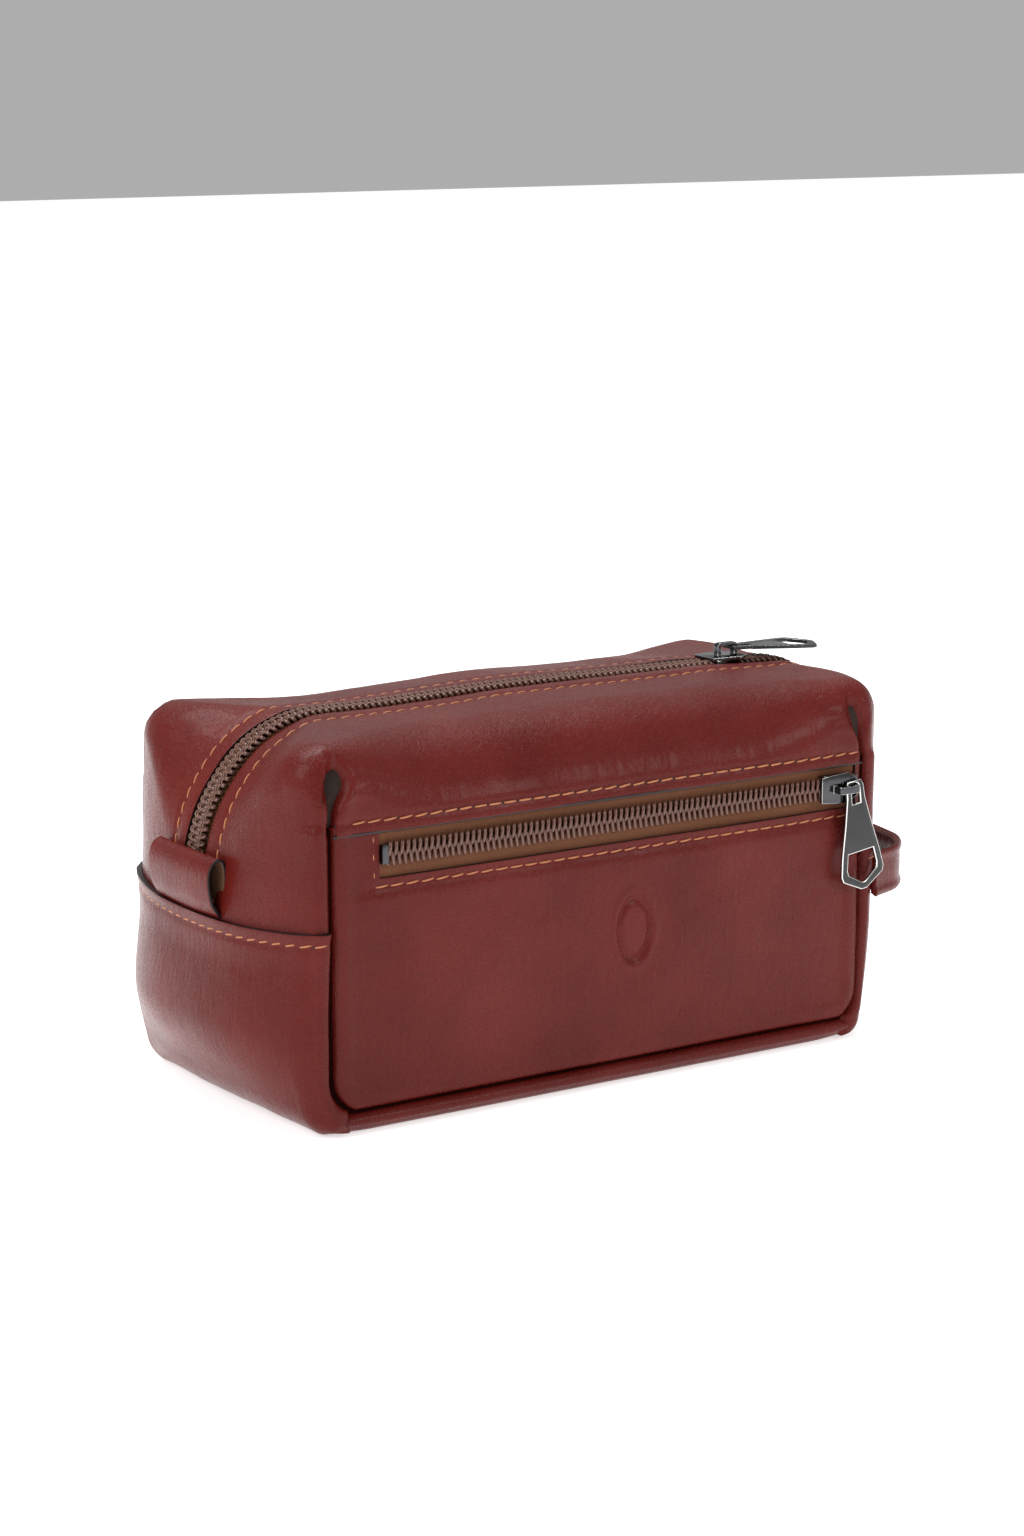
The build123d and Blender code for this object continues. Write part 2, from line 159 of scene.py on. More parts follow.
def slope(p):
    step = 0.05
    parts = []
    for axis in range(3):
        shift = np.zeros(3)
        shift[axis] = step
        parts.append((form(p + shift) - form(p - shift)) / (2 * step))
    return np.stack(parts, -1)


def onto(p, inset=0.0):
    """Points moved along the slope onto the form, inset millimetres under its surface."""
    p = np.array(p, float)
    for _ in range(7):
        g = slope(p)
        p -= ((form(p) + inset) / np.maximum((g * g).sum(-1), 0.3))[..., None] * g
    return p


def relaxed(p, rows, columns, rounds=8):
    """A grid of points on the form, spaced more evenly; its border stays."""
    grid = p.reshape(rows, columns, 3)
    for _ in range(rounds):
        grid[1:-1, 1:-1] = (grid[:-2, 1:-1] + grid[2:, 1:-1] + grid[1:-1, :-2] + grid[1:-1, 2:]) / 4
    return grid.reshape(-1, 3)


def outward(p):
    g = slope(p)
    return g / np.linalg.norm(g, axis=-1, keepdims=True)


def line_length(points):
    return np.concatenate([[0], np.cumsum(np.linalg.norm(np.diff(points, axis=0), axis=1))])


def along_line(points, at):
    """Points at the given arc lengths along a polyline."""
    run = line_length(points)
    return np.stack([np.interp(at, run, points[:, axis]) for axis in range(3)], -1)


def zip_line(y, low_z, count=400):
    """The line over the top of the bag at a given y, from the left end to the right."""
    corner = np.array([[-HALF_LENGTH, low_z], [-HALF_LENGTH, HEIGHT],
                       [HALF_LENGTH, HEIGHT], [HALF_LENGTH, low_z]])
    start = np.column_stack([corner[:, 0], np.full(4, y), corner[:, 1]])
    line = along_line(start, np.linspace(0, line_length(start)[-1], count))
    middle = np.array([0, y, 70.0])
    line = middle + (line - middle) * 0.97
    line = onto(line)
    line[:, 1] = y
    line = onto(line)
    line = line[line[:, 2] > low_z - 0.5]
    return along_line(line, np.linspace(0, line_length(line)[-1], count))


# ---- Mesh making

MATERIALS = {}


def make_mesh(name, points, faces, material, body="bag_body", slot=None):
    """A piece from points in millimetres; it rides on a body."""
    mesh = bpy.data.meshes.new(name)
    mesh.from_pydata((np.asarray(points, float) / 1000).tolist(), [], [tuple(int(i) for i in f) for f in faces])
    mesh.update()
    obj = bpy.data.objects.new(name, mesh)
    bpy.context.scene.collection.objects.link(obj)
    for m in [material] if isinstance(material, str) else material:
        obj.data.materials.append(MATERIALS[m])
    mesh.polygons.foreach_set("use_smooth", [True] * len(mesh.polygons))
    if body:
        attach(obj, body)
    return obj


def grid_faces(rows, columns, keep=None):
    i, j = np.meshgrid(np.arange(rows - 1), np.arange(columns - 1), indexing="ij")
    a = i * columns + j
    faces = np.stack([a, a + columns, a + columns + 1, a + 1], -1).reshape(-1, 4)
    return faces if keep is None else faces[keep.reshape(-1)]


def thicken(obj, thickness, rim_slot=1, bevel=0.35):
    """Give a sheet its thickness inwards, with its own material on the cut edge, and soften that edge."""
    solid = obj.modifiers.new("thickness", "SOLIDIFY")
    solid.thickness = thickness / 1000
    solid.offset = -1
    solid.use_even_offset = False
    solid.material_offset_rim = rim_slot
    solid.material_offset = len(obj.data.materials) - 1 if rim_slot else 0
    if bevel:
        edge = obj.modifiers.new("edge", "BEVEL")
        edge.width = bevel / 1000
        edge.segments = 2
        edge.limit_method = "ANGLE"
        edge.angle_limit = math.radians(50)
    apply_modifiers(obj)


def apply_modifiers(obj):
    bpy.context.view_layer.update()
    graph = bpy.context.evaluated_depsgraph_get()
    mesh = bpy.data.meshes.new_from_object(obj.evaluated_get(graph))
    old = obj.data
    obj.modifiers.clear()
    obj.data = mesh
    bpy.data.meshes.remove(old)


def face_outward(obj):
    """Turn the faces of a sheet so that most of them look away from the middle of the bag."""
    mesh = obj.data
    centre = np.array([f.center[:] for f in mesh.polygons])
    normal = np.array([f.normal[:] for f in mesh.polygons])
    if (normal * (centre - np.array([0, 0, 0.06]))).sum() < 0:
        mesh.flip_normals()


def tube(line, radius, sides=8, up=None):
    """Points and faces of a round tube along a polyline; radius is one number or one per point."""
    line = np.asarray(line, float)
    radius = np.broadcast_to(np.asarray(radius, float), len(line))
    tangent = np.gradient(line, axis=0)
    tangent /= np.maximum(np.linalg.norm(tangent, axis=1, keepdims=True), 1e-9)
    up = np.array([0, 0, 1.0]) if up is None else np.asarray(up, float)
    side = np.cross(tangent, np.broadcast_to(up, tangent.shape))
    bad = np.linalg.norm(side, axis=1) < 1e-3
    side[bad] = np.cross(tangent[bad], np.array([0.3, 1.0, 0.2]))
    side /= np.linalg.norm(side, axis=1, keepdims=True)
    normal = np.cross(side, tangent)
    turn = np.linspace(0, 2 * np.pi, sides, endpoint=False)
    ring = side[:, None] * np.cos(turn)[:, None] + normal[:, None] * np.sin(turn)[:, None]
    points = (line[:, None] + ring * radius[:, None, None]).reshape(-1, 3)
    i, j = np.meshgrid(np.arange(len(line) - 1), np.arange(sides), indexing="ij")
    a, b = i * sides + j, i * sides + (j + 1) % sides
    faces = np.stack([a, b, b + sides, a + sides], -1).reshape(-1, 4).tolist()
    faces.append(list(range(sides))[::-1])
    faces.append(list(range(len(points) - sides, len(points))))
    return points, faces


def joined(parts):
    """Several (points, faces) pairs as one."""
    points, faces, start = [], [], 0
    for p, f in parts:
        points.append(p)
        faces.extend([[i + start for i in face] for face in f])
        start += len(p)
    return np.concatenate(points), faces


def lip_blend(obj):
    """A top piece is taken off the bag's body and its transform baked into its mesh."""
    obj.parent = None
    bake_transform(obj)


# ---- Materials

def nodes_of(name):
    material = bpy.data.materials.new(name)
    material.use_nodes = True
    tree = material.node_tree
    MATERIALS[name] = material
    return tree, tree.nodes["Principled BSDF"]


def node(tree, kind, inputs=None, **settings):
    made = tree.nodes.new(kind)
    for key, value in settings.items():
        setattr(made, key, value)
    for key, value in (inputs or {}).items():
        if isinstance(value, bpy.types.NodeSocket):
            tree.links.new(value, made.inputs[key])
        else:
            made.inputs[key].default_value = value
    return made


def place(tree, scale=(1, 1, 1)):
    """Surface coordinates in millimetres, stretched by scale."""
    where = node(tree, "ShaderNodeTexCoord").outputs["Object"]
    return node(tree, "ShaderNodeVectorMath", {0: where, 1: [1000 / s for s in scale]},
                operation="MULTIPLY").outputs[0]


def ramp(tree, value, stops):
    made = node(tree, "ShaderNodeValToRGB", {"Fac": value})
    elements = made.color_ramp.elements
    while len(elements) < len(stops):
        elements.new(0.5)
    for element, (position, colour) in zip(elements, stops):
        element.position = position
        element.color = (*colour, 1)
    return made.outputs[0]


def grey(*values):
    return [(position, (level, level, level)) for position, level in values]


def mix(tree, share, a, b, blend_type="MIX"):
    made = node(tree, "ShaderNodeMix", data_type="RGBA", blend_type=blend_type)
    for index, value in ((0, share), (6, a), (7, b)):
        if isinstance(value, bpy.types.NodeSocket):
            tree.links.new(value, made.inputs[index])
        else:
            made.inputs[index].default_value = value
    return made.outputs[2]


def link_bump(tree, shader, layers):
    """Bump from several heights, each (height socket, strength, distance in millimetres)."""
    normal = None
    for height, strength, distance in layers:
        made = node(tree, "ShaderNodeBump",
                    {"Height": height, "Strength": strength, "Distance": distance / 1000})
        if normal:
            tree.links.new(normal, made.inputs["Normal"])
        normal = made.outputs[0]
    tree.links.new(normal, shader.inputs["Normal"])


def leather_material(name, deep, mid, light, rough=(0.22, 0.36), gloss=0.135):
    tree, shader = nodes_of(name)
    where = place(tree)
    clouds = node(tree, "ShaderNodeTexNoise", {"Vector": where, "Scale": 0.03, "Detail": 4.0}).outputs[0]
    pores = node(tree, "ShaderNodeTexVoronoi", {"Vector": where, "Scale": 1.25},
                 feature="DISTANCE_TO_EDGE").outputs[0]
    grain = node(tree, "ShaderNodeTexNoise",
                 {"Vector": where, "Scale": 1.1, "Detail": 5.0, "Roughness": 0.6}).outputs[0]
    creases = node(tree, "ShaderNodeTexNoise",
                   {"Vector": place(tree, (1, 1, 5)), "Scale": 0.55, "Detail": 6.0,
                    "Distortion": 0.6}).outputs[0]
    tone = ramp(tree, clouds, [(0.3, deep), (0.52, mid), (0.75, light)])
    dust = ramp(tree, grain, grey((0.35, 0.82), (0.7, 1.0)))
    tree.links.new(mix(tree, 1.0, tone, dust, "MULTIPLY"), shader.inputs["Base Color"])
    tree.links.new(ramp(tree, grain, grey((0.3, rough[0]), (0.75, rough[1]))), shader.inputs["Roughness"])
    shader.inputs["Coat Weight"].default_value = gloss / 2
    shader.inputs["Coat Roughness"].default_value = 0.16
    shader.inputs["Specular IOR Level"].default_value = gloss
    cells = ramp(tree, pores, grey((0.0, 0.0), (0.16, 1.0)))
    link_bump(tree, shader, [(cells, 0.40, 0.14), (creases, 0.55, 0.55), (grain, 0.35, 0.16)])


def plain_material(name, colour, rough, metallic=0.0, grain=0.0, size=1.0, vary=0.15, coat=0.0):
    tree, shader = nodes_of(name)
    spots = node(tree, "ShaderNodeTexNoise",
                 {"Vector": place(tree), "Scale": 1 / size, "Detail": 5.0}).outputs[0]
    low = [c * (1 - vary) for c in colour]
    high = [min(1, c * (1 + vary)) for c in colour]
    tree.links.new(ramp(tree, spots, [(0.3, low), (0.7, high)]), shader.inputs["Base Color"])
    shine = ramp(tree, spots, grey((0.3, rough * 0.85), (0.7, rough * 1.15)))
    tree.links.new(shine, shader.inputs["Roughness"])
    shader.inputs["Metallic"].default_value = metallic
    shader.inputs["Coat Weight"].default_value = coat
    if grain:
        link_bump(tree, shader, [(spots, 0.5, grain)])


def woven_material(name, dark, light, pitch, rough=0.75, slant=True):
    """A fine twill: two crossed sets of threads."""
    tree, shader = nodes_of(name)
    where = place(tree)
    turn = (0.5, 0.35, 0.8) if slant else (0, 0, 0)
    turned = node(tree, "ShaderNodeVectorRotate", {"Vector": where, "Rotation": turn},
                  rotation_type="EULER_XYZ").outputs[0]
    weave = []
    for direction in ("X", "Z"):
        weave.append(node(tree, "ShaderNodeTexWave",
                          {"Vector": turned, "Scale": 0.314 / pitch, "Distortion": 0.6, "Detail": 2.0,
                           "Detail Scale": 2.0}, bands_direction=direction).outputs[1])
    both = node(tree, "ShaderNodeMath", {0: weave[0], 1: weave[1]}, operation="MULTIPLY").outputs[0]
    tree.links.new(ramp(tree, both, [(0.05, dark), (0.7, light)]), shader.inputs["Base Color"])
    shader.inputs["Roughness"].default_value = rough
    shader.inputs["Specular IOR Level"].default_value = 0.2
    link_bump(tree, shader, [(both, 0.6, 0.15)])


leather_material("leather", (0.105, 0.0072, 0.0048), (0.125, 0.0105, 0.0075), (0.148, 0.0150, 0.0110))
# A near-black copy of the leather for the piping down in the seam grooves: painted shade.
leather_material("leather_deep", (0.010, 0.002, 0.002), (0.016, 0.003, 0.002), (0.022, 0.004, 0.003),
                 (0.7, 0.9), 0.0)
leather_material("leather_inside", (0.10, 0.045, 0.025), (0.14, 0.065, 0.035), (0.18, 0.09, 0.05),
                 (0.6, 0.8), 0.1)
plain_material("edge_paint", (0.012, 0.008, 0.009), 0.38, grain=0.05, size=0.8)
plain_material("thread", (0.46, 0.17, 0.068), 0.5, grain=0.06, size=0.35, vary=0.2)
# Near-black discs at the stitch ends: painted shade inside the stitch holes.
plain_material("hole", (0.012, 0.004, 0.003), 0.8)
woven_material("tape", (0.110, 0.040, 0.016), (0.270, 0.105, 0.055), 0.45)
plain_material("coil", (0.120, 0.046, 0.030), 0.26, grain=0.03, size=0.6, coat=0.2)
plain_material("coil_thread", (0.20, 0.10, 0.07), 0.5, grain=0.05, size=0.3)
plain_material("gunmetal", (0.075, 0.075, 0.082), 0.13, metallic=1.0, grain=0.004, size=3.0, vary=0.1)
# Near-white metal for the rounded edges of the sliders and pulls: a painted highlight on the dark metal.
plain_material("painted_highlight_metal", (0.75, 0.74, 0.72), 0.12, metallic=1.0, vary=0.05)
plain_material("pull_enamel", (0.006, 0.006, 0.007), 0.42, grain=0.02, size=0.5, coat=0.2)
woven_material("lining", (0.020, 0.012, 0.010), (0.055, 0.034, 0.026), 0.5, slant=False)
plain_material("board", (0.20, 0.17, 0.14), 0.8, grain=0.1, size=0.7)


# ---- Leather wrinkles and seams, as moves along the surface's normal

def seam_roll(distance, depth=2.2, width=1.7, puff=0.7, reach=6.0):
    """Leather turning in at a seam, with a soft roll beside it."""
    return -depth * bump(distance, width) + puff * bump(distance - reach, reach * 0.6)


def soft_wear(p, amount=1.0):
    wide = 0.55 * noise(p, 34) + 0.30 * noise(p + 17, 15)
    fine = 0.06 * noise(p + 31, 4.5)
    return amount * (wide + fine)


def corner_dart(p):
    """The fold above each upright seam, where the box corner is tucked in: a deep hollow shaped like a drop."""
    z = p[:, 2]
    middle = GROOVE_X - 0.4 - 3.2 * smooth((z - 99) / 20)
    side = np.abs(p[:, 0]) - middle
    on_long_side = smooth((np.abs(p[:, 1]) - 40) / 8)
    depth = smooth((z - 95.5) / 3) * smooth((121.5 - z) / 5)
    half = 0.9 + 2.2 * bump(z - 113, 5.5)
    near = np.where((p[:, 0] < 0) & (p[:, 1] < 0), 1.0, 0.5)
    fold = -6.0 * np.exp(-(np.abs(side) / (half * 1.25)) ** 2.6) * depth
    upright = smooth((z - 84) / 16) * smooth((122 - z) / 18)
    roll = (1.2 * bump(side - half - 3.0, 2.4) + 0.8 * bump(side + half + 3.0, 2.4)) * upright
    rim = 0.5 * bump(z - 122, 2.8) * bump(side, 4.5)
    pleats = 0.30 * np.sin(1.35 * z) * bump(side + half + 5, 4.5) * bump(z - 113, 5)
    return (fold + roll + rim + pleats) * on_long_side * near


def strip_creases(p):
    """Fine upright creases over the shoulder of the top panels."""
    band = smooth((p[:, 2] - 96) / 6) * smooth((124 - p[:, 2]) / 14) * smooth((np.abs(p[:, 1]) - 24) / 20)
    where = p * np.array([1, 0.25, 0.12])
    patch = 0.35 + 0.65 * smooth(noise(p + 53, 30) + 0.5)
    return -0.16 * band * patch * np.abs(noise(where, 1.9)) ** 0.8


# ---- Panels

def stitch_dimples(distance):
    return -0.45 * bump(distance, 1.3)


def groove_edge(z):
    """Half width of the long panels at height z: their lower corners are rounded."""
    drop = np.clip(GROOVE_LOW + GROOVE_TURN - z, 0, GROOVE_TURN)
    return GROOVE_X - GROOVE_TURN + np.sqrt(GROOVE_TURN ** 2 - drop ** 2)


def long_panel(side):
    """The front or back panel: the front one has the zip's window."""
    front = side < 0
    seam_x = GROOVE_X - 0.4
    xs = np.linspace(-seam_x, seam_x, 261)
    zs = np.linspace(GROOVE_LOW, 99.5, 121)
    if front:
        xs = np.unique(np.concatenate([xs, [WINDOW_LEFT, WINDOW_RIGHT]]))
        zs = np.unique(np.concatenate([zs, [WINDOW_LOW, WINDOW_HIGH]]))
    gx, gz = np.meshgrid(xs, zs, indexing="ij")
    seam = groove_edge(gz) - 0.4
    gx = np.where(gz < GROOVE_LOW + GROOVE_TURN, gx * seam / seam_x, gx)
    p = np.stack([gx, np.full_like(gx, side * HALF_DEPTH), gz], -1).reshape(-1, 3)
    keep_x, keep_z = p[:, 0].copy(), p[:, 2].copy()
    for _ in range(4):
        p = onto(p, 0.6)
        p[:, 0], p[:, 2] = keep_x, keep_z
    n = outward(p)
    inside = np.minimum(seam.reshape(-1) - np.abs(keep_x), keep_z - GROOVE_LOW)
    move = soft_wear(p, 0.8) + seam_roll(np.maximum(inside, 0), *PANEL_ROUND)
    if front:
        across = np.clip(p[:, 0], WINDOW_LEFT - 2, WINDOW_RIGHT + 2) - p[:, 0]
        below = np.abs(p[:, 2] - (WINDOW_LOW - 2.6)) + np.abs(across)
        move += stitch_dimples(below)
        around = np.hypot(across, np.maximum(WINDOW_LOW - 6 - p[:, 2], 0))
        move += 0.5 * bump(around, 9) * smooth((WINDOW_LOW - 3 - p[:, 2]) / 4)
        ring = np.hypot((p[:, 0] - 9.0) / 0.62, p[:, 2] - 52.0)
        move += -1.0 * bump(ring - 10.0, 1.5) + 0.35 * bump(ring - 13.0, 1.4)
    p = p + n * move[:, None]
    keep = None
    if front:
        mid_x, mid_z = (xs[1:] + xs[:-1]) / 2, (zs[1:] + zs[:-1]) / 2
        inside_x = (mid_x > WINDOW_LEFT) & (mid_x < WINDOW_RIGHT)
        inside_z = (mid_z > WINDOW_LOW) & (mid_z < WINDOW_HIGH)
        keep = ~(inside_x[:, None] & inside_z[None, :])
    name = "front_panel" if front else "back_panel"
    obj = make_mesh(f"{name}_leather", p, grid_faces(len(xs), len(zs), keep), LEATHER_SHEET, slot="leather")
    face_outward(obj)
    thicken(obj, LEATHER)
    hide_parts(name)


def gusset_top(y):
    """Height of the end gusset's upper edge: it dips towards the middle."""
    return GUSSET_TOP + 1.5 + 1.8 * (y / HALF_DEPTH) ** 2 + 0.012 * y


def end_gusset(side):
    """The lower leather of one end: it wraps round both corners to the upright seams and under to the base."""
    name = "end_gusset_left" if side < 0 else "end_gusset_right"
    columns, rows = 260, 92
    deep = HALF_DEPTH + 0.5
    route = np.array([[0, -1.0], [0.30, -1.0], [0.85, -0.55], [1.0, 0], [0.85, 0.55], [0.30, 1.0], [0, 1.0]])
    run = line_length(route * [16.5, deep])
    at = np.linspace(0, run[-1], columns)
    out, y = np.interp(at, run, route[:, 0]), np.interp(at, run, route[:, 1]) * deep
    top = gusset_top(y)[:, None]
    fall = np.linspace(0, 1, rows)[None, :]
    z = np.maximum(top - (top + 17) * fall, -17.0)
    under = np.clip(-z / 17, 0, 1)
    z = np.maximum(z, 0)
    edge = np.maximum(groove_edge(z), BASE_JOINT_X) + 0.3
    x = edge + (HALF_LENGTH + 2 - edge) * out[:, None]
    x = x - under * 0.8 * (x - BASE_JOINT_X)
    p = np.stack([side * x, y[:, None] * (1 - 0.05 * under), z], -1).reshape(-1, 3)
    down = (top - z).reshape(-1)
    p = onto(p, -0.15)
    n = outward(p)
    p = p + n * (1.5 * smooth(1 - down / 14))[:, None]
    from_edge = np.repeat(np.minimum(at, at[-1] - at), rows)
    above_base = smooth(p[:, 2] / 4)
    move = soft_wear(p, 0.8) + (stitch_dimples(down - 4.0) + 0.5 * bump(down, 2.0)) * above_base
    move += seam_roll(from_edge, *GUSSET_ROUND) * smooth((p[:, 2] + 1) / 3)
    move += 0.5 * bump(p[:, 1] - 18, 10) * bump(down, 3)
    p = p + n * move[:, None]
    p[:, 2] = np.maximum(p[:, 2], 0.02)
    obj = make_mesh(f"{name}_leather", p, grid_faces(columns, rows), LEATHER_SHEET, slot="leather")
    face_outward(obj)
    thicken(obj, 1.9, bevel=0.5)
    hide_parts(name)


def top_panel(side):
    """One piece of leather from the zip over the shoulder to the topstitching, and down to both gussets."""
    word = "front" if side < 0 else "back"
    count, width = 700, 84
    edge = zip_line(side * (SLIT - 0.6), GUSSET_TOP - 6)
    run = line_length(edge)
    low = GUSSET_TOP - 6
    lower_edge = TOP_EDGE_Z if side < 0 else STITCH_Z - 3.4
    seam_y = side * (HALF_DEPTH + 0.3)
    outline = np.array([[-GROOVE_X, seam_y, low], [-GROOVE_X, seam_y, lower_edge],
                        [GROOVE_X, seam_y, lower_edge], [GROOVE_X, seam_y, low]])
    outer_run = line_length(outline)
    bend_left = (HEIGHT - LEFT_R - low) + LEFT_R * np.pi / 4
    bend_right = run[-1] - (HEIGHT - RIGHT_R - low) - RIGHT_R * np.pi / 4
    at = np.linspace(0, run[-1], count)
    inner = along_line(edge, at)
    spread = np.interp(at, [0, bend_left, bend_right, run[-1]], outer_run)
    outer = along_line(outline, spread)
    corner = np.stack([np.where(np.abs(inner[:, 0]) > np.abs(outer[:, 0]), inner[:, 0], outer[:, 0]),
                       outer[:, 1], np.maximum(inner[:, 2], outer[:, 2])], -1)
    t = np.linspace(0, 1, width)[None, :, None]
    p = (1 - t) ** 2 * inner[:, None] + 2 * t * (1 - t) * corner[:, None] + t ** 2 * outer[:, None]
    p = onto(p.reshape(-1, 3), -0.1)
    p = onto(relaxed(p, count, width), -0.1)
    n = outward(p)
    away = np.abs(p[:, 1]) - SLIT
    on_long_side = smooth((GROOVE_X - 0.5 - np.abs(p[:, 0])) / 2)
    move = soft_wear(p) + strip_creases(p)
    move += corner_dart(p)
    move += stitch_dimples(away - ZIP_STITCH_INSET) + 0.35 * bump(away - 2.5, 2.5)
    move += stitch_dimples(p[:, 2] - STITCH_Z) * smooth((np.abs(p[:, 1]) - 46) / 5) * on_long_side
    below = smooth((STITCH_Z + 1 - p[:, 2]) / 4) * smooth((np.abs(p[:, 1]) - HALF_DEPTH + 9) / 4)
    move += seam_roll(np.maximum(np.abs(p[:, 0]) - GROOVE_X, 0), *GUSSET_ROUND) * below * (1 - on_long_side)
    p = p + n * move[:, None]
    obj = make_mesh(f"top_{word}_leather", p, grid_faces(count, width), LEATHER_SHEET, body=None,
                    slot="leather")
    face_outward(obj)
    thicken(obj, LEATHER)
    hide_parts(f"top_{word}_panel", f"{word}_upper_end_left", f"{word}_upper_end_right")
    lip_blend(obj)


# ---- Stitching

def stitch_row(name, line, pitch=5.0, blend_side=None, slant=0.35, lift=0.36, wear=1.0):
    """Slanted raised stitches, each diving into a hole, along a line on the surface; each hole is a flat
    near-black disc of painted shade.
    """
    line = line + outward(line) * (wear * soft_wear(line, 1.0))[:, None]
    total = line_length(line)[-1]
    count = max(2, int(total / pitch))
    pitch = total / count
    normal_line = outward(line)
    run = line_length(line)
    threads, holes = [], []
    steps = np.linspace(0, 1, 7)
    for k in range(count):
        start, end = (k + 0.10) * pitch, (k + 0.90) * pitch
        at = start + (end - start) * steps
        points = along_line(line, at)
        n = np.stack([np.interp(at, run, normal_line[:, a]) for a in range(3)], -1)
        n /= np.linalg.norm(n, axis=1, keepdims=True)
        tangent = (points[-1] - points[0]) / max(np.linalg.norm(points[-1] - points[0]), 1e-6)
        side = np.cross(n, tangent)
        wobble = 0.12 * math.sin(k * 12.9898) + slant
        height = lift * np.sin(np.pi * steps) ** 0.6
        path = points + n * (height - 0.18)[:, None] + side * ((steps - 0.5) * 2 * wobble)[:, None]
        radius = 0.35 * (0.75 + 0.25 * np.sin(np.pi * steps))
        threads.append(tube(path, radius, 7, up=n[3]))
        # A flat near-black disc at each end of the stitch, painted shade in its hole.
        for end_index in (0, -1):
            centre = path[end_index] + n[end_index] * 0.12 - tangent * (0.25 if end_index == 0 else -0.25)
            turn = np.linspace(0, 2 * np.pi, 8, endpoint=False)
            round_hole = np.cos(turn)[:, None] * tangent + 0.7 * np.sin(turn)[:, None] * side[end_index]
            holes.append((centre + 0.55 * round_hole, [list(range(8))]))
    for word, parts, material in (("thread", threads, "thread"), ("holes", holes, "hole")):
        obj = make_mesh(f"{name}_{word}", *joined(parts), material, body=None if blend_side else "bag_body",
                        slot="leather")
        if blend_side:
            lip_blend(obj)


def surface_line(points, inset=0.0, fine=2.0):
    """A polyline laid onto the form."""
    points = np.array(points, float)
    length = line_length(points)[-1]
    line = along_line(points, np.linspace(0, length, max(4, int(length / fine))))
    return onto(line, inset)


# ---- Zips

def frames_along(line):
    tangent = np.gradient(line, axis=0)
    tangent /= np.linalg.norm(tangent, axis=1, keepdims=True)
    return tangent


def coil(line, normal, lateral, pitch, wire, inner, outer, height, phase, turn_points=14):
    """One side of a coil zip: a flattened helix whose heads reach just past the middle."""
    run = line_length(line)
    turns = int(run[-1] / pitch)
    angle = np.linspace(0, 2 * np.pi * turns, turns * turn_points) + phase
    at = (angle - phase) / (2 * np.pi) * pitch
    centre = along_line(line, at)

    def sampled(vectors):
        values = np.stack([np.interp(at, run, vectors[:, a]) for a in range(3)], -1)
        return values / np.linalg.norm(values, axis=1, keepdims=True)

    n, side = sampled(normal), sampled(lateral)
    cos, sin = np.cos(angle), np.sin(angle)
    wide = np.sign(cos) * np.abs(cos) ** 0.7
    high = np.sign(sin) * np.abs(sin) ** 0.8
    middle, half = (inner + outer) / 2, (outer - inner) / 2
    path = centre + side * (middle - half * wide)[:, None] + n * (height * high)[:, None]
    return tube(path, wire, 7, up=n[0])


def sewing(line, normal, lateral, pitch, offset, height, radius=0.26):
    """The thread that sews a coil down, rising over each wire."""
    run = line_length(line)
    count = int(run[-1] / pitch)
    at = np.linspace(0, count * pitch, count * 6)
    centre = along_line(line, at)
    n = np.stack([np.interp(at, run, normal[:, a]) for a in range(3)], -1)
    side = np.stack([np.interp(at, run, lateral[:, a]) for a in range(3)], -1)
    wave = 0.30 * np.cos(2 * np.pi * at / pitch)
    sway = 0.25 * np.sin(2 * np.pi * at / pitch)
    path = centre + n * (height + wave)[:, None] + side * (offset + sway)[:, None]
    return tube(path, radius, 6, up=n[0])


def main_zip(side):
    word = "front" if side < 0 else "back"
    line = onto(zip_line(0.0, limits("main_stop_left")[1][2]), 0.4)
    normal = outward(line)
    tangent = frames_along(line)
    lateral = np.cross(normal, tangent)
    lateral *= np.sign(lateral[len(lateral) // 2, 1]) * side
    pitch = 2.5
    helix = coil(line, normal, lateral, pitch, 0.62, -0.55, 4.4, 0.62, 0 if side < 0 else np.pi)
    obj = make_mesh(f"main_coil_{word}_wire", *helix, "coil", body=None, slot="coil")
    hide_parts(f"main_coil_{word}", f"main_coil_{word}_left", f"main_coil_{word}_right")
    lip_blend(obj)
    rows = joined([sewing(line, normal, lateral, pitch, offset, 0.95) for offset in (1.9, 3.2)])
    threads = make_mesh(f"main_coil_{word}_sewing", *rows, "coil_thread", body=None, slot="coil")
    lip_blend(threads)
    strip = np.array([1.2, 3.5, 4.8, 6.2, 8.0, 12.0, 18.0])
    rows = [onto(line + lateral * w, 1.9) for w in strip]
    cloth = np.stack(rows, 1).reshape(-1, 3)
    tape = make_mesh(f"main_tape_{word}_cloth", cloth, grid_faces(len(line), len(strip)), "tape", body=None,
                     slot="tape")
    face_outward(tape)
    thicken(tape, 0.5, 0, bevel=0)
    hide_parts(f"main_tape_{word}", f"main_tape_{word}_left", f"main_tape_{word}_right")
    lip_blend(tape)


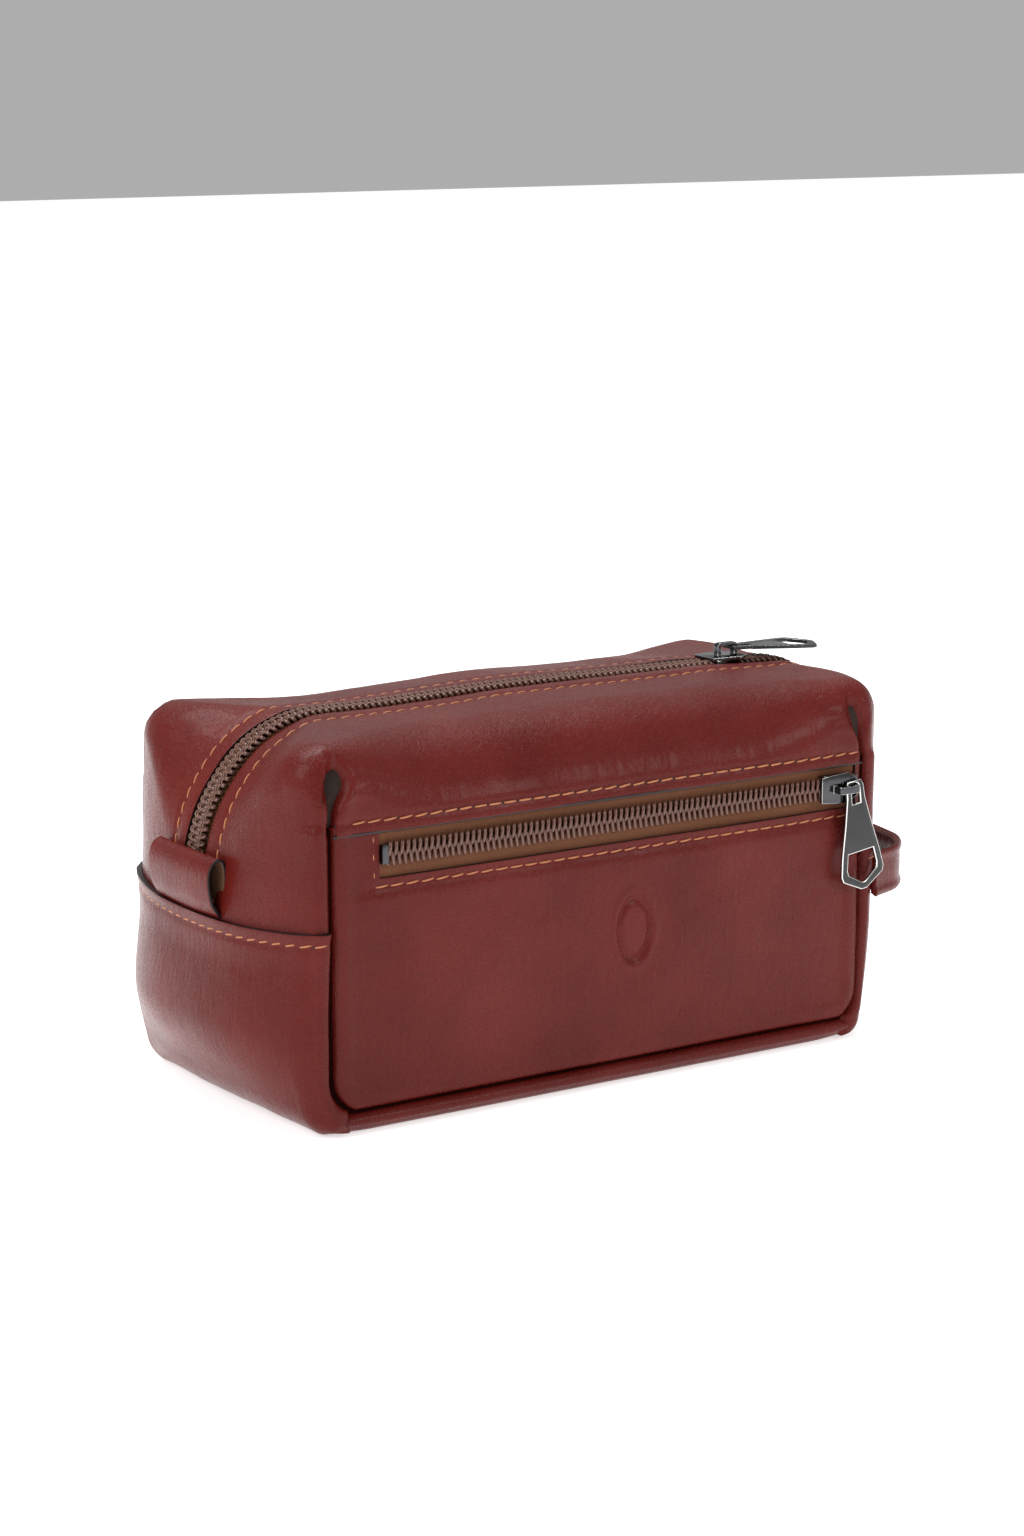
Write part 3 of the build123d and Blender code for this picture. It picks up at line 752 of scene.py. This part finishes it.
def pocket_zip():
    base_y = COIL_Y1
    left = limits("pocket_coil_upper")[0][0]
    right = WINDOW_RIGHT + 2
    xs = np.linspace(left, right, 120)
    line = np.column_stack([xs, np.full_like(xs, (COIL_Y0 + COIL_Y1) / 2 - 0.2), np.full_like(xs, POCKET_Z)])
    normal = np.tile([0, -1.0, 0], (len(line), 1))
    for word, way, phase in (("upper", 1.0, 0.0), ("lower", -1.0, np.pi)):
        lateral = np.tile([0, 0, way], (len(line), 1))
        helix = coil(line, normal, lateral, 2.2, 0.60, -0.45, 3.5, 0.62, phase)
        obj = make_mesh(f"pocket_coil_{word}_wire", *helix, "coil", slot="coil")
        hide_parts(f"pocket_coil_{word}")
        low, high = limits(f"pocket_tape_{word}")
        inner = POCKET_Z + way * 0.9
        outer = high[2] if way > 0 else low[2]
        zs = np.linspace(inner, outer, 8)
        gx, gz = np.meshgrid(np.linspace(low[0], WINDOW_RIGHT + 2.5, 120), zs, indexing="ij")
        ripple = 0.18 * noise(np.stack([gx, gz, 0 * gx], -1), (14, 8, 1))
        cloth = np.stack([gx, base_y + 0.25 + ripple, gz], -1).reshape(-1, 3)
        tape = make_mesh(f"pocket_tape_{word}_cloth", cloth, grid_faces(120, 8), "tape", slot="tape")
        face_outward(tape)
        thicken(tape, 0.5, 0, bevel=0)
        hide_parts(f"pocket_tape_{word}")


# ---- Metal, tab, handle, piping, lining

def softened(node_name, width, material=("gunmetal",)):
    """A CAD piece with its sharp edges rounded; the last material goes on the rounding."""
    source = frame["nodes"][node_name]
    body = source["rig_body"]
    mesh = source.data.copy()
    obj = bpy.data.objects.new(f"{node_name}_cast", mesh)
    bpy.context.scene.collection.objects.link(obj)
    obj.data.materials.clear()
    for m in material:
        obj.data.materials.append(MATERIALS[m])
    work = bmesh.new()
    work.from_mesh(mesh)
    bmesh.ops.remove_doubles(work, verts=work.verts, dist=1e-6)
    bmesh.ops.dissolve_limit(work, angle_limit=math.radians(1), verts=work.verts, edges=work.edges)
    work.to_mesh(mesh)
    work.free()
    edge = obj.modifiers.new("edge", "BEVEL")
    edge.width = width / 1000
    edge.segments = 3
    edge.limit_method = "ANGLE"
    edge.angle_limit = math.radians(28)
    edge.material = len(obj.data.materials) - 1
    apply_modifiers(obj)
    obj.data.polygons.foreach_set("use_smooth", [True] * len(obj.data.polygons))
    obj.data.set_sharp_from_angle(angle=math.radians(40))
    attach(obj, body)
    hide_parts(node_name)


def zip_tab():
    """A folded leather tab over the zip's left end, open like a flattened loop at its two sides."""
    low, high = limits("zip_tab_left")
    wall = -HALF_LENGTH - 0.2
    ys = np.linspace(low[1], high[1], 40)
    t = np.linspace(0, 1, 40)
    z_low, z_top = low[2] - 3.6, high[2]
    fold = np.array([[0.3, z_low], [-0.3, z_low + 6], [-0.3, z_top - 3], [-1.4, z_top], [-4.2, z_top - 0.2],
                     [-6.6, z_top - 2.6], [-7.7, z_top - 6.5], [-6.6, z_low + 6.0], [-4.0, z_low + 2.0],
                     [-1.8, z_low - 0.6]])
    run = line_length(fold)
    fine = np.stack([np.interp(t * run[-1], run, fold[:, a]) for a in range(2)], -1)
    for _ in range(5):
        fine[1:-1] = (fine[:-2] + 2 * fine[1:-1] + fine[2:]) / 4
    gy, gi = np.meshgrid(ys, np.arange(40), indexing="ij")
    x = wall + fine[gi.astype(int), 0]
    z = fine[gi.astype(int), 1]
    end_round = 1.0 * (gy / high[1]) ** 2
    p = np.stack([x + end_round, gy, z], -1).reshape(-1, 3)
    p += (0.25 * noise(p, 9))[:, None] * np.array([1, 0, 0.3])
    obj = make_mesh("zip_tab_left_leather", p, grid_faces(40, 40), LEATHER_SHEET, slot="leather")
    centre = np.array([wall - 3, 0, (z_low + z_top) / 2]) / 1000
    outside = sum(f.normal.dot(Vector(np.array(f.center) - centre)) for f in obj.data.polygons)
    if outside < 0:
        obj.data.flip_normals()
    thicken(obj, 1.3)
    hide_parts("zip_tab_left")


def side_handle():
    """A strap across the right end, its feet caught in the corner seams, bowed out between them."""
    low, high = limits("side_handle")
    reach = high[0] - 1.4
    half = np.array([[HALF_SEAM + 1.6, -HALF_DEPTH + 0.6], [HALF_SEAM + 8, -HALF_DEPTH + 3.2],
                     [HALF_SEAM + 15, -52.0], [reach - 10.5, -46.5], [reach - 6.3, -40.0], [reach - 3.2, -26],
                     [reach - 0.8, -12]])
    route = np.concatenate([half, [[reach, 0]], half[::-1] * [1, -1]])
    run = line_length(route)
    t = np.linspace(0, run[-1], 120)
    line = np.stack([np.interp(t, run, route[:, a]) for a in range(2)], -1)
    for _ in range(14):
        line[1:-1] = (line[:-2] + 2 * line[1:-1] + line[2:]) / 4
    zs = np.linspace(low[2], high[2], 18)
    gi, gz = np.meshgrid(np.arange(120), zs, indexing="ij")
    tangent = np.gradient(line, axis=0)
    tangent /= np.linalg.norm(tangent, axis=1, keepdims=True)
    across = np.stack([tangent[:, 1], -tangent[:, 0]], -1)
    height = (zs - zs.mean()) / (zs[-1] - zs[0]) * 2
    crown = 0.9 * bump(np.abs(height) - 0.82, 0.18) - 0.5 * height ** 2
    x = line[gi, 0] + across[gi, 0] * crown[None, :]
    y = line[gi, 1] + across[gi, 1] * crown[None, :]
    p = np.stack([x, y, gz], -1).reshape(-1, 3)
    obj = make_mesh("side_handle_strap", p, grid_faces(120, 18), LEATHER_SHEET, slot="leather")
    face_outward(obj)
    thicken(obj, 2.4, 0, bevel=0.8)
    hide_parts("side_handle")


def piping(side):
    """The rolled leather strip in the seam round each long panel, coloured near-black: painted shade in the
    seam's groove.
    """
    word = "front" if side < 0 else "back"
    x, y, low = GROOVE_X, side * (HALF_DEPTH - 4.4), GROOVE_LOW - 0.2
    corner = GROOVE_TURN
    turn = np.linspace(0, np.pi / 2, 12)
    left = [(-x, y, z) for z in np.linspace(STITCH_Z - 2, low + corner, 40)]
    left += [(-x + corner * (1 - math.cos(a)), y, low + corner * (1 - math.sin(a))) for a in turn[1:]]
    right = [(-px, py, pz) for px, py, pz in left[::-1]]
    line = np.array(left + [(px, y, low) for px in np.linspace(-x + corner, x - corner, 60)[1:-1]] + right)
    line[:, 1] += side * 0.25 * noise(line, 20)
    obj = make_mesh(f"{word}_piping_leather", *tube(line, 1.7, 12, up=(0, 1, 0)), "leather_deep",
                    slot="leather")
    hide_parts(f"{word}_piping")


def bottom():
    """The leather base, its long edges turned up in front and behind as far as the seams."""
    xs = np.linspace(-BASE_JOINT_X - 3, BASE_JOINT_X + 3, 180)
    wrap = HALF_DEPTH + GROOVE_LOW + 0.5
    ys = np.linspace(-wrap, wrap, 200)
    gx, gy = np.meshgrid(xs, ys, indexing="ij")
    up = np.maximum(np.abs(gy) - HALF_DEPTH - 0.5, 0)
    p = np.stack([gx, np.clip(gy, -HALF_DEPTH - 0.5, HALF_DEPTH + 0.5), up], -1).reshape(-1, 3)
    p = onto(p, -0.1)
    n = outward(p)
    on_edge = smooth((up.reshape(-1) - 0.5) / 2)
    move = (seam_roll(GROOVE_LOW - up.reshape(-1), 2.6, 0.9, 0.6, 3.2) + 0.25 * noise(p, 16)) * on_edge
    p = p + n * move[:, None]
    p[:, 2] = np.maximum(p[:, 2], 0.03)
    obj = make_mesh("bottom_leather", p, grid_faces(180, 200), LEATHER_SHEET, slot="leather")
    face_outward(obj)
    thicken(obj, LEATHER, bevel=0)
    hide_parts("bottom_panel")


def board():
    """The stiffener over the base."""
    low, high = limits("base_stiffener")
    xs, ys = np.linspace(-HALF_SEAM + 6, HALF_SEAM - 6, 60), np.linspace(low[1] + 3, high[1] - 3, 30)
    gx, gy = np.meshgrid(xs, ys, indexing="ij")
    p = np.stack([gx, gy, np.full_like(gx, high[2])], -1).reshape(-1, 3)
    obj = make_mesh("base_board", p, grid_faces(60, 30), "board", slot="board")
    if obj.data.polygons[0].normal.z < 0:
        obj.data.flip_normals()
    thicken(obj, high[2] - low[2], 0, bevel=0.4)
    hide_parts("base_stiffener")


def lining_sheet(name, p, rows, columns, replaced, blend_side=None):
    p = p + outward(p) * (0.5 * noise(p, 22) + 0.25 * noise(p, 9))[:, None]
    obj = make_mesh(name, p, grid_faces(rows, columns), "lining", body=None if blend_side else "bag_body",
                    slot="lining")
    thicken(obj, 0.5, 0, bevel=0)
    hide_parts(*replaced)
    if blend_side:
        lip_blend(obj)


def linings():
    depth = 3.6
    xs, zs = np.linspace(-HALF_SEAM + 3, HALF_SEAM - 3, 120), np.linspace(5.5, STITCH_Z - 1, 60)
    gx, gz = np.meshgrid(xs, zs, indexing="ij")
    front_y, back_y = limits("lining_front")[0][1], limits("lining_back")[0][1]
    for word, y in (("front", front_y), ("back", back_y)):
        p = np.stack([gx, np.full_like(gx, y), gz], -1).reshape(-1, 3)
        lining_sheet(f"lining_{word}_cloth", p, 120, 60, [f"lining_{word}"])
    ys = np.linspace(-HALF_DEPTH + 5, HALF_DEPTH - 5, 70)
    gy, gz = np.meshgrid(ys, zs, indexing="ij")
    for word, side in (("left", -1), ("right", 1)):
        p = onto(np.stack([np.full_like(gy, side * HALF_LENGTH), gy, gz], -1).reshape(-1, 3), depth)
        lining_sheet(f"lining_{word}_cloth", p, 70, 60, [f"lining_{word}"])
    gx, gy = np.meshgrid(np.linspace(8 - HALF_SEAM, HALF_SEAM - 8, 120),
                         np.linspace(front_y + 1, back_y - 2, 50), indexing="ij")
    p = np.stack([gx, gy, np.full_like(gx, limits("lining_bottom")[1][2])], -1).reshape(-1, 3)
    lining_sheet("lining_bottom_cloth", p, 120, 50, ["lining_bottom"])
    for word, side in (("front", -1), ("back", 1)):
        edge = zip_line(side * 9.0, STITCH_Z)
        edge = along_line(edge, np.linspace(0, line_length(edge)[-1], 140))
        drop = np.linspace(0, 1, 30)[None, :, None]
        low = np.column_stack([np.clip(edge[:, 0], -HALF_SEAM + 3, HALF_SEAM - 3),
                               np.full(140, side * (HALF_DEPTH - 4)), np.full(140, STITCH_Z - 1)])
        middle = np.column_stack([low[:, 0], low[:, 1], np.maximum(edge[:, 2], STITCH_Z)])
        p = (1 - drop) ** 2 * edge[:, None] + 2 * drop * (1 - drop) * middle[:, None] + drop ** 2 * low[:, None]
        lining_sheet(f"top_{word}_lining_cloth", onto(p.reshape(-1, 3), depth), 140, 30,
                     [f"top_{word}_lining"], word)


def pouch():
    """The front pocket's lining: one sheet behind the front leather, one further back."""
    left, right = limits("pocket_pouch_back")[0][0], limits("pocket_pouch_back")[1][0]
    low, high = limits("pocket_pouch_back")[0][2] + 2, STITCH_Z - 1
    deep = limits("pocket_pouch_back")[1][1]
    for word, top, y in (("front", WINDOW_LOW - 4, -HALF_DEPTH + 5.0), ("back", high, deep - 0.8)):
        gx, gz = np.meshgrid(np.linspace(left, right, 120), np.linspace(low, top, 50), indexing="ij")
        p = np.stack([gx, np.full_like(gx, y), gz], -1).reshape(-1, 3)
        p[:, 1] += 0.4 * noise(p, 20)
        obj = make_mesh(f"pocket_pouch_{word}_cloth", p, grid_faces(120, 50), "lining", slot="lining")
        thicken(obj, 0.4, 0, bevel=0)
        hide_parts(f"pocket_pouch_{word}")


pouch()
for piece_side in (-1, 1):
    long_panel(piece_side)
    end_gusset(piece_side)
    top_panel(piece_side)
    main_zip(piece_side)
    piping(piece_side)
pocket_zip()
zip_tab()
side_handle()
bottom()
board()
linings()

# The rounded edges of the sliders and pulls take near-white metal, a painted highlight.
for metal in ("main_slider", "pocket_slider"):
    softened(metal, 0.22, ("gunmetal", "painted_highlight_metal"))
for metal in ("main_pull", "pocket_pull"):
    softened(metal, 0.34, ("pull_enamel", "painted_highlight_metal"))
for metal in ("main_stop_left", "main_stop_right", "pocket_bottom_stop", "pocket_top_stops"):
    softened(metal, 0.15)


# ---- Stitching rows on the surface

def top_rows():
    for word, side in (("front", -1), ("back", 1)):
        line = zip_line(side * (SLIT + ZIP_STITCH_INSET), GUSSET_TOP + 2)
        stitch_row(f"zip_stitch_{word}", onto(line, 0.35), 5.2, blend_side=word)
        far, z = GROOVE_X - 1.8, STITCH_Z - 0.3
        line = surface_line([[-far, side * HALF_DEPTH, z], [far, side * HALF_DEPTH, z]], 0.3)
        line[:, 2] = z
        stitch_row(f"topstitch_{word}", line, 5.5, slant=0.15)


def panel_rows():
    z = WINDOW_LOW - 2.6
    line = surface_line([[WINDOW_LEFT - 2, -HALF_DEPTH, z], [WINDOW_RIGHT + 4, -HALF_DEPTH, z]], 1.05)
    line[:, 2] = z
    stitch_row("window_stitch", line, 5.5, slant=0.15, wear=0.8)
    line = surface_line([[WINDOW_LEFT - 2, -HALF_DEPTH, z + 1],
                         [WINDOW_LEFT - 2, -HALF_DEPTH, WINDOW_HIGH]], 1.05)
    line[:, 0] = WINDOW_LEFT - 2
    stitch_row("window_side_stitch", line, 5.2, slant=0.1, wear=0.8)
    for word, side in (("left", -1), ("right", 1)):
        deep = HALF_DEPTH + 0.5
        route = np.array([[GROOVE_X + 2.2, -deep], [HALF_SEAM + 1, -deep], [HALF_LENGTH - 1, -deep * 0.55],
                          [HALF_LENGTH + 2, 0]])
        route = np.concatenate([route, route[-2::-1] * [1, -1]])
        route = np.column_stack([side * route[:, 0], route[:, 1], gusset_top(route[:, 1])])
        line = along_line(route, np.linspace(0, line_length(route)[-1], 200))
        line[:, 2] = gusset_top(line[:, 1]) - 3.6
        line = onto(line, -0.1)
        run = line_length(line)
        from_edge = np.minimum(run, run[-1] - run) + 1.9
        line = line + outward(line) * (0.75 + seam_roll(from_edge, *GUSSET_ROUND))[:, None]
        stitch_row(f"gusset_stitch_{word}", line, 5.0, wear=0.8)


def edge_and_shade_lines():
    """The dark line under the lower edge of each top panel, drawn as a thin tube on the long panel: partly the
    edge's black paint, partly painted shade where the top panel overlaps.
    """
    for word, side in (("front", -1), ("back", 1)):
        z = TOP_EDGE_Z if side < 0 else STITCH_Z - 3.4
        far = GROOVE_X - 0.8
        line = surface_line([[-far, side * HALF_DEPTH, z], [far, side * HALF_DEPTH, z]], 0.25)
        line[:, 2] = z - 0.15
        make_mesh(f"top_{word}_edge", *tube(line, 0.42, 8), "edge_paint", slot="leather")


top_rows()
panel_rows()
edge_and_shade_lines()


# ---- Floor, light and camera

def floor():
    mesh = bpy.data.meshes.new("floor")
    size = 6.0
    corners = [(-size, -size), (size, -size), (size, size), (-size, size)]
    mesh.from_pydata([(x, y, -0.0005) for x, y in corners], [], [(0, 1, 2, 3)])
    obj = bpy.data.objects.new("floor", mesh)
    bpy.context.scene.collection.objects.link(obj)
    shader = nodes_of("floor_paper")[1]
    shader.inputs["Base Color"].default_value = (0.9, 0.9, 0.9, 1)
    shader.inputs["Roughness"].default_value = 0.9
    shader.inputs["Emission Color"].default_value = (1, 1, 1, 1)
    shader.inputs["Emission Strength"].default_value = 0.62
    obj.data.materials.append(MATERIALS["floor_paper"])


def area_light(name, place_at, size, power, target=(0, 0, 0.06)):
    light = bpy.data.lights.new(name, "AREA")
    light.shape = "RECTANGLE"
    light.size, light.size_y = size
    light.energy = power
    obj = bpy.data.objects.new(name, light)
    obj.location = place_at
    obj.rotation_euler = (Vector(target) - Vector(place_at)).to_track_quat("-Z", "Y").to_euler()
    bpy.context.scene.collection.objects.link(obj)


floor()
area_light("soft_left", (-1.6, -0.2, 1.2), (0.9, 1.1), 16)
area_light("soft_front", (0.9, -1.9, 1.1), (0.9, 0.6), 12)
area_light("soft_top", (0.0, 0.6, 1.7), (1.6, 0.7), 26)

world = bpy.data.worlds.new("studio")
world.use_nodes = True
world.node_tree.nodes["Background"].inputs["Color"].default_value = (1, 1, 1, 1)
world.node_tree.nodes["Background"].inputs["Strength"].default_value = 0.42
bpy.context.scene.world = world
bpy.context.scene.view_settings.view_transform = "Standard"

SENSOR_MM, LENS_MM = 36.0, 82.03125
SHIFT_RIGHT, SHIFT_UP = -0.0011068, 0.0694010   # the frame's middle beside the aim, in frame heights
AZIMUTH, ELEVATION, DISTANCE = math.radians(-33.9), math.radians(13.4), 1.1848
camera_data = bpy.data.cameras.new("camera")
camera_data.sensor_width = SENSOR_MM
camera_data.lens = LENS_MM
camera_data.shift_x = SHIFT_RIGHT
camera_data.shift_y = SHIFT_UP
camera = bpy.data.objects.new("camera", camera_data)
aim = Vector((0, 0, 0.060))
level = math.cos(ELEVATION)
back = Vector((math.sin(AZIMUTH) * level, -math.cos(AZIMUTH) * level, math.sin(ELEVATION)))
camera.location = aim + back * DISTANCE
camera.rotation_euler = (-back).to_track_quat("-Z", "Y").to_euler()
bpy.context.scene.collection.objects.link(camera)
bpy.context.scene.camera = camera
